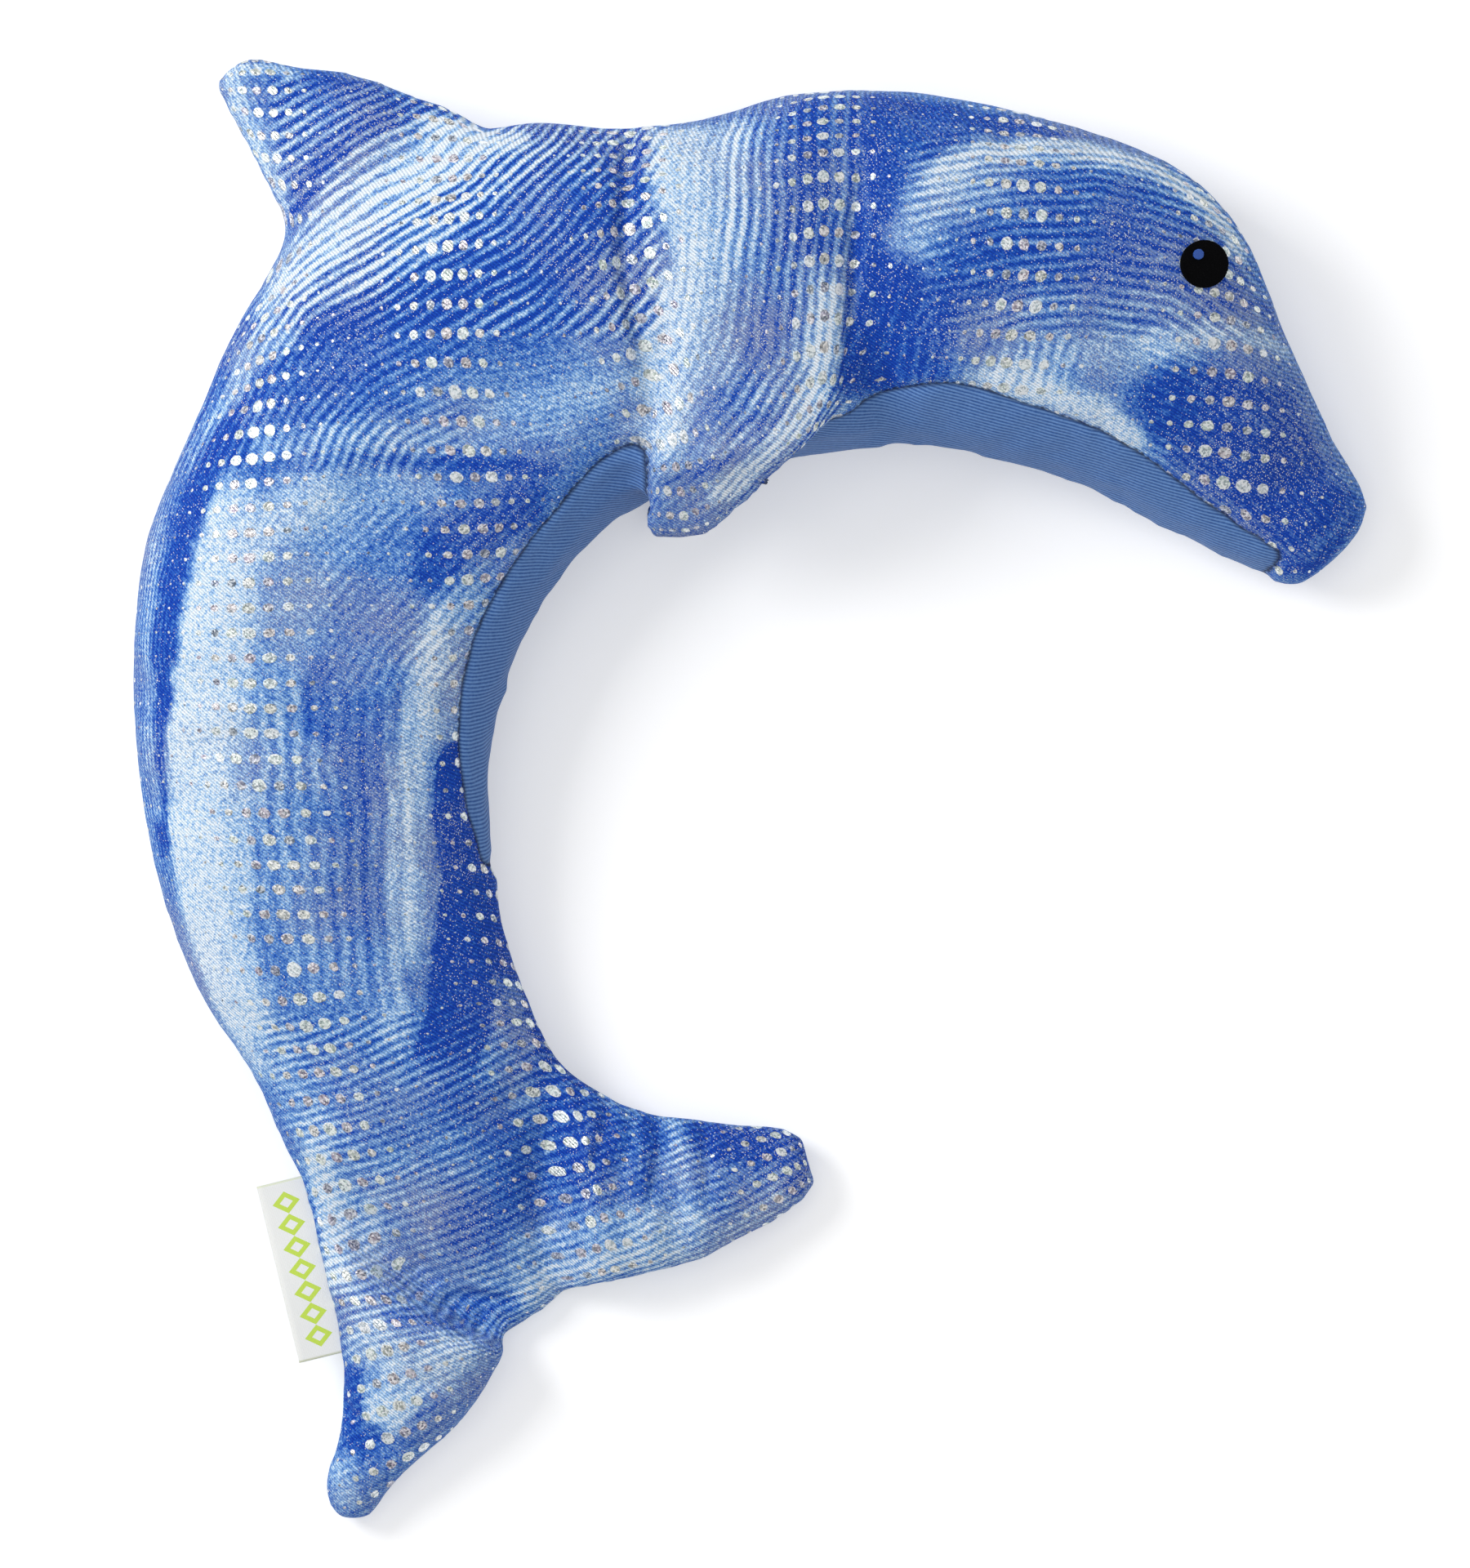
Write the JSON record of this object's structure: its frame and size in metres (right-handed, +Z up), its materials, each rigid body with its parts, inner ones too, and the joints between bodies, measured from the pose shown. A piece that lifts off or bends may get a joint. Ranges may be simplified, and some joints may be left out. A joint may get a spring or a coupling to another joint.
{
  "type": "plush dolphin",
  "caption": "Soft stuffed dolphin lying curled on its side, with marbled velour flanks, a ribbed twill belly, flippers, back fin, tail flukes and button eyes.",
  "frame": {"origin": "middle of the bounding box's underside, where the toy lies on its left flank", "axes": "+Z up from the surface it lies on, to the right flank; +Y from the tail towards the head and back fin; +X towards the snout"},
  "size_m": [0.3428, 0.4072, 0.065],
  "materials": {
    "marbled_velour": "short pile velour, marbled blue, with small foil dots",
    "belly_twill": "smooth ribbed twill",
    "eye_black": "matte black",
    "glint_blue": "satin blue",
    "label_tape": "woven satin tape"
  },
  "bodies": {
    "root": {"stuffed_body": "marbled_velour", "belly_gusset": "belly_twill", "right_flipper_lining": "belly_twill", "left_flipper_lining": "belly_twill", "right_eye": "eye_black", "left_eye": "eye_black", "right_eye_glint": "glint_blue", "left_eye_glint": "glint_blue", "side_label": "label_tape"}
  },
  "joints": []
}
